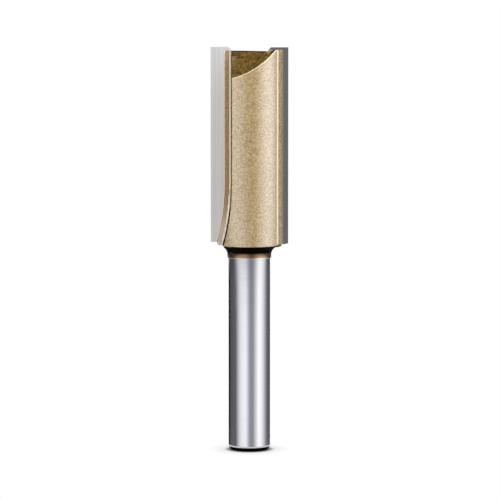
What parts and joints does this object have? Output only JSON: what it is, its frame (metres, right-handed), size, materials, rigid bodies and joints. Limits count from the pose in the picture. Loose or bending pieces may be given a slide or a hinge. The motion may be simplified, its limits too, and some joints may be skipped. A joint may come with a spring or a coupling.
{
  "type": "router bit",
  "caption": "Straight plunge router bit: round shank, fluted body with brazed carbide tips and relieved end.",
  "frame": {"origin": "centre of the shank's end face", "axes": "+Z along the bit's axis towards the cutting end, X across the two rake faces, with the -X rake face turned to -Y"},
  "size_m": [0.0116, 0.01, 0.061],
  "materials": {
    "steel": "bronze metallic flake coat on the body and collar, ground bright on the shank",
    "carbide": "fine ground, satin grey",
    "braze": "thin coated fillet, satin"
  },
  "bodies": {
    "root": {"body_and_shank": "steel", "carbide_tip_1": "carbide", "carbide_tip_2": "carbide", "braze_1": "braze", "braze_2": "braze"}
  },
  "joints": []
}
